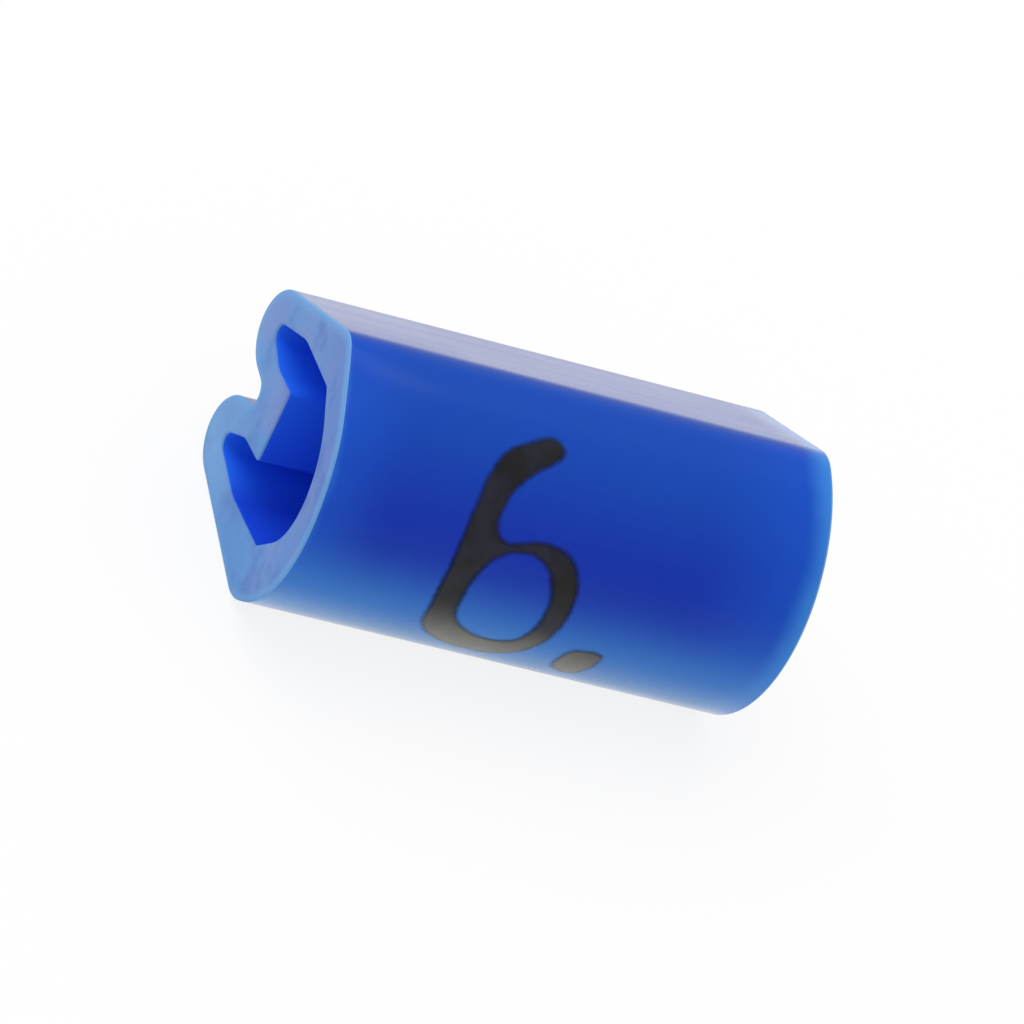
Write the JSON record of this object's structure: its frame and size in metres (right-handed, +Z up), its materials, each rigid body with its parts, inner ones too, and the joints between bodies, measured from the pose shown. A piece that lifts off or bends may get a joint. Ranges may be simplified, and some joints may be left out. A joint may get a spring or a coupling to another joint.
{
  "type": "cable marker",
  "caption": "Short heart-shaped sleeve of soft plastic that slides over a wire, grips it with an inner tongue and shows a printed figure to tell wires apart.",
  "frame": {"origin": "middle of the sleeve's bounding box, on the surface that it lies on", "axes": "+X along the cable, the round printed back towards -Y and the notch towards +Y, +Z up from the flank that it lies on"},
  "size_m": [0.006, 0.0036, 0.0033],
  "materials": {
    "sleeve_pvc": "satin soft PVC in blue, with paler matt cut ends",
    "print_ink": "thin matt black printing ink"
  },
  "bodies": {
    "root": {"marker_sleeve": "sleeve_pvc"}
  },
  "joints": []
}
